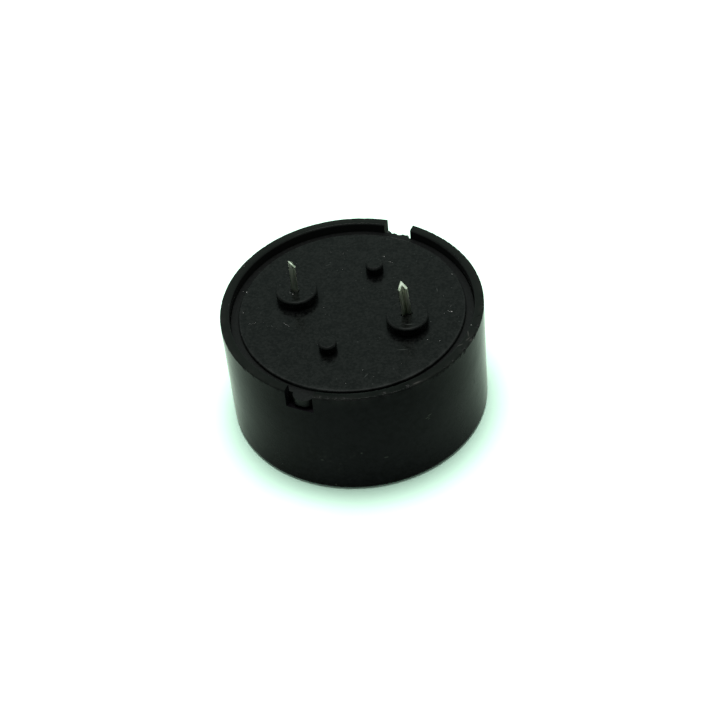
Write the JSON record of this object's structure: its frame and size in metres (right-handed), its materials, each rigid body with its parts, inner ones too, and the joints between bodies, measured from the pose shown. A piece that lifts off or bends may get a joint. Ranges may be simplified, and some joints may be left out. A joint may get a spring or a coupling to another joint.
{
  "type": "piezo buzzer",
  "caption": "Round black piezo buzzer with sheet-metal pins, standoffs and a sound hole in its flat front, for soldering to a circuit board.",
  "frame": {"origin": "centre of the case's front face, which is the face it stands on", "axes": "+Z from the front face towards the pins; the two pins stand along X, at the board on +X and -X; the locating lug is on -Y and the torn gate stub on +Y"},
  "size_m": [0.022, 0.022, 0.0144],
  "materials": {
    "black_plastic": "moulded, fine satin",
    "tinned_strip": "tin plated, lightly rolled, bright where it was cut",
    "brass_sheet": "rolled satin",
    "silvered_ceramic": "matt fired silver coat on ceramic",
    "silicone": "cured milky silicone",
    "lint": "loose pale dust and short fibres on the moulding"
  },
  "bodies": {
    "root": {"case": "black_plastic", "base": "black_plastic", "terminal_plate": "tinned_strip", "terminal_electrode": "tinned_strip", "diaphragm": "brass_sheet", "ceramic": "silvered_ceramic", "adhesive": "silicone"}
  },
  "joints": []
}
